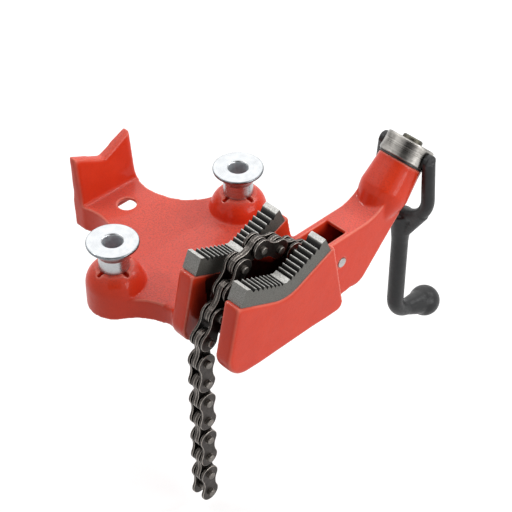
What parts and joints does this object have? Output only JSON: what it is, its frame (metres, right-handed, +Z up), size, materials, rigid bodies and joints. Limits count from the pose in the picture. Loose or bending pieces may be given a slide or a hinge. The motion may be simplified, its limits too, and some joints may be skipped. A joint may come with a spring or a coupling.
{
  "type": "chain pipe vise",
  "caption": "Bench-top chain vise with a cast base, toothed V jaws, a roller chain hooked in claws, and a screw, nut and swinging crank handle that tighten it.",
  "frame": {"origin": "centre of the underside of the base, midway between the two front bolt holes, on the bench top", "axes": "+Z up from the bench; +X from the side where the chain hangs towards the arm with the screw and handle; -Y towards the edge of the bench, where the jaws stand"},
  "size_m": [0.2856, 0.2019, 0.2321],
  "materials": {
    "casting": "gloss enamel over a sand casting",
    "zinc": "bright zinc plate over a turned casting",
    "jaw": "dark phosphate, satin, with bright worn tooth crests",
    "pin": "drawn steel, satin",
    "washer": "dark oiled steel",
    "turned": "turned, with fine circumferential marks",
    "screw": "machined, oiled",
    "handle": "black satin lacquer over a forging",
    "chain": "gunmetal, oiled, with bright worn plate edges"
  },
  "bodies": {
    "base": {"base_casting": "casting", "bender_left": "zinc", "bender_right": "zinc", "jaw_rear": "jaw", "jaw_front": "jaw", "jaw_pins": "pin", "fulcrum_pin": "pin", "thrust_washer": "washer"},
    "nut": {"nut": "turned"},
    "handle": {"crank_handle": "handle"},
    "screw": {"draw_screw": "screw", "anchor_pin": "pin"},
    "link_01": {"chain_link_01": "chain"},
    "link_02": {"chain_link_02": "chain"},
    "link_03": {"chain_link_03": "chain"},
    "link_04": {"chain_link_04": "chain"},
    "link_05": {"chain_link_05": "chain"},
    "link_06": {"chain_link_06": "chain"},
    "link_07": {"chain_link_07": "chain"},
    "link_08": {"chain_link_08": "chain"},
    "link_09": {"chain_link_09": "chain"},
    "link_10": {"chain_link_10": "chain"},
    "link_11": {"chain_link_11": "chain"},
    "link_12": {"chain_link_12": "chain"},
    "link_13": {"chain_link_13": "chain"},
    "link_14": {"chain_link_14": "chain"},
    "link_15": {"chain_link_15": "chain"},
    "link_16": {"chain_link_16": "chain"},
    "link_17": {"chain_link_17": "chain"},
    "link_18": {"chain_link_18": "chain"},
    "link_19": {"chain_link_19": "chain"}
  },
  "joints": [
    {"name": "nut_turn", "type": "hinge", "parent": "base", "child": "nut", "pos_m": [0.1534, -0.0821, 0.0669], "axis": [0.6782, 0, 0.7349], "range_deg": [-110, 60]},
    {"name": "screw_draw", "type": "slide", "parent": "base", "child": "screw", "axis": [0.6782, 0, 0.7349], "range_m": [-0.001, 0.025]},
    {"name": "handle_swing", "type": "hinge", "parent": "nut", "child": "handle", "pos_m": [0.1534, -0.0821, 0.0669], "axis": [0, 1, 0], "range_deg": [-200, 9]},
    {"name": "link_03_roll", "type": "hinge", "parent": "base", "child": "link_03", "pos_m": [0.0727, -0.0821, 0.0143], "axis": [0, 1, 0], "range_deg": [0, 2]},
    {"name": "link_02_bend", "type": "hinge", "parent": "link_03", "child": "link_02", "pos_m": [0.06628, -0.0821, 0.00239], "axis": [0, 1, 0], "range_deg": [0, 2]},
    {"name": "link_01_bend", "type": "hinge", "parent": "link_02", "child": "link_01", "pos_m": [0.08455, -0.0821, 0.00779], "axis": [0, 1, 0], "range_deg": [-2, 2]},
    {"name": "link_04_bend", "type": "hinge", "parent": "link_03", "child": "link_04", "pos_m": [0.06075, -0.0821, 0.02062], "axis": [0, 1, 0], "range_deg": [0, 4]},
    {"name": "link_05_bend", "type": "hinge", "parent": "link_04", "child": "link_05", "pos_m": [0.04586, -0.0821, 0.03251], "axis": [0, 1, 0], "range_deg": [0, 4]},
    {"name": "link_06_bend", "type": "hinge", "parent": "link_05", "child": "link_06", "pos_m": [0.03098, -0.0821, 0.04441], "axis": [0, 1, 0], "range_deg": [0, 4]},
    {"name": "link_07_bend", "type": "hinge", "parent": "link_06", "child": "link_07", "pos_m": [0.0161, -0.0821, 0.0563], "axis": [0, 1, 0], "range_deg": [0, 15]},
    {"name": "link_08_bend", "type": "hinge", "parent": "link_07", "child": "link_08", "pos_m": [-0.00056, -0.0821, 0.06554], "axis": [0, 1, 0], "range_deg": [0, 18]},
    {"name": "link_09_bend", "type": "hinge", "parent": "link_08", "child": "link_09", "pos_m": [-0.01846, -0.0821, 0.05902], "axis": [0, 1, 0], "range_deg": [0, 18]},
    {"name": "link_10_bend", "type": "hinge", "parent": "link_09", "child": "link_10", "pos_m": [-0.02966, -0.0821, 0.04361], "axis": [0, 1, 0], "range_deg": [0, 18]},
    {"name": "link_11_bend", "type": "hinge", "parent": "link_10", "child": "link_11", "pos_m": [-0.04086, -0.0821, 0.0282], "axis": [0, 1, 0], "range_deg": [0, 18]},
    {"name": "link_12_bend", "type": "hinge", "parent": "link_11", "child": "link_12", "pos_m": [-0.05123, -0.0821, 0.01222], "axis": [0, 1, 0], "range_deg": [0, 18]},
    {"name": "link_13_bend", "type": "hinge", "parent": "link_12", "child": "link_13", "pos_m": [-0.05388, -0.0821, -0.00664], "axis": [0, 1, 0], "range_deg": [-10, 18]},
    {"name": "link_14_bend", "type": "hinge", "parent": "link_13", "child": "link_14", "pos_m": [-0.05422, -0.0821, -0.02569], "axis": [0, 1, 0], "range_deg": [-10, 18]},
    {"name": "link_15_bend", "type": "hinge", "parent": "link_14", "child": "link_15", "pos_m": [-0.05422, -0.0821, -0.04474], "axis": [0, 1, 0], "range_deg": [-10, 18]},
    {"name": "link_16_bend", "type": "hinge", "parent": "link_15", "child": "link_16", "pos_m": [-0.05422, -0.0821, -0.06379], "axis": [0, 1, 0], "range_deg": [-10, 18]},
    {"name": "link_17_bend", "type": "hinge", "parent": "link_16", "child": "link_17", "pos_m": [-0.05422, -0.0821, -0.08284], "axis": [0, 1, 0], "range_deg": [-10, 18]},
    {"name": "link_18_bend", "type": "hinge", "parent": "link_17", "child": "link_18", "pos_m": [-0.05422, -0.0821, -0.10189], "axis": [0, 1, 0], "range_deg": [-10, 18]},
    {"name": "link_19_bend", "type": "hinge", "parent": "link_18", "child": "link_19", "pos_m": [-0.05422, -0.0821, -0.12094], "axis": [0, 1, 0], "range_deg": [-10, 18]}
  ],
  "couplings": [
    {"joint": "screw_draw", "follows": "nut_turn", "m_per_rad": -0.00047746}
  ]
}
